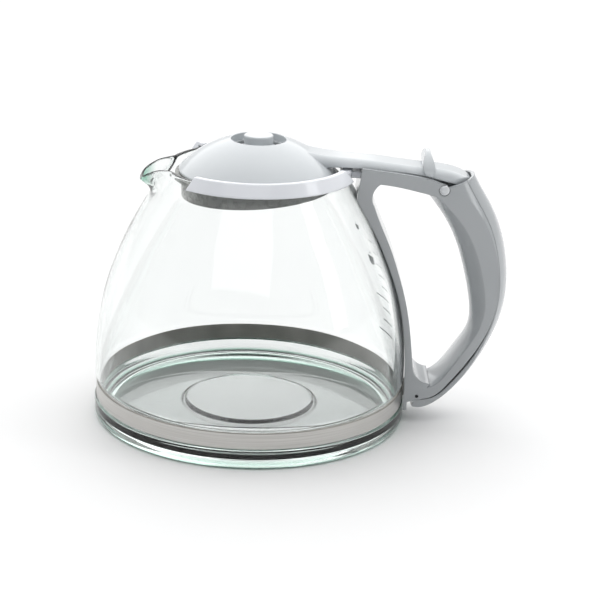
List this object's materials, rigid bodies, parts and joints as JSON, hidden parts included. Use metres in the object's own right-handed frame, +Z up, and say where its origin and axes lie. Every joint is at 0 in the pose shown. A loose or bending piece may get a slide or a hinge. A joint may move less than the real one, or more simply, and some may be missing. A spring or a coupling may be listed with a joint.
{
  "type": "glass coffee jug",
  "caption": "Glass drip-coffee jug with a drawn spout, steel foot band, hollow plastic loop handle, neck collar and a domed lid hinged on the handle.",
  "frame": {"origin": "centre of the glass foot ring, in the plane it stands on; this is the glass axis", "axes": "+Z up along the glass axis, +X from the glass axis to the handle, -X to the spout, +Y to the far side"},
  "size_m": [0.1967, 0.15, 0.1382],
  "materials": {
    "jug_glass": "clear",
    "band_steel": "brushed",
    "dull_grey": "matte",
    "screw_steel": "plated",
    "handle_plastic": "glossy",
    "collar_plastic": "glossy",
    "lid_plastic": "glossy",
    "insert_plastic": "satin",
    "pin_plastic": "satin"
  },
  "bodies": {
    "jug": {"glass_jug": "jug_glass", "foot_band": "band_steel", "band_liner": "dull_grey", "clamp_screw": "screw_steel", "clamp_nut": "screw_steel", "handle_body": "handle_plastic", "handle_cover": "handle_plastic", "hinge_pin": "pin_plastic", "pin_cap": "pin_plastic", "neck_collar": "collar_plastic"},
    "lid": {"lid_cover": "lid_plastic", "arm_underplate": "lid_plastic", "thumb_tab": "lid_plastic", "lid_insert": "insert_plastic", "drip_hub": "lid_plastic"}
  },
  "joints": [
    {"name": "lid_hinge", "type": "hinge", "parent": "jug", "child": "lid", "pos_m": [0.0885, 0, 0.1169], "axis": [0, 1, 0], "range_deg": [0, 75]}
  ]
}
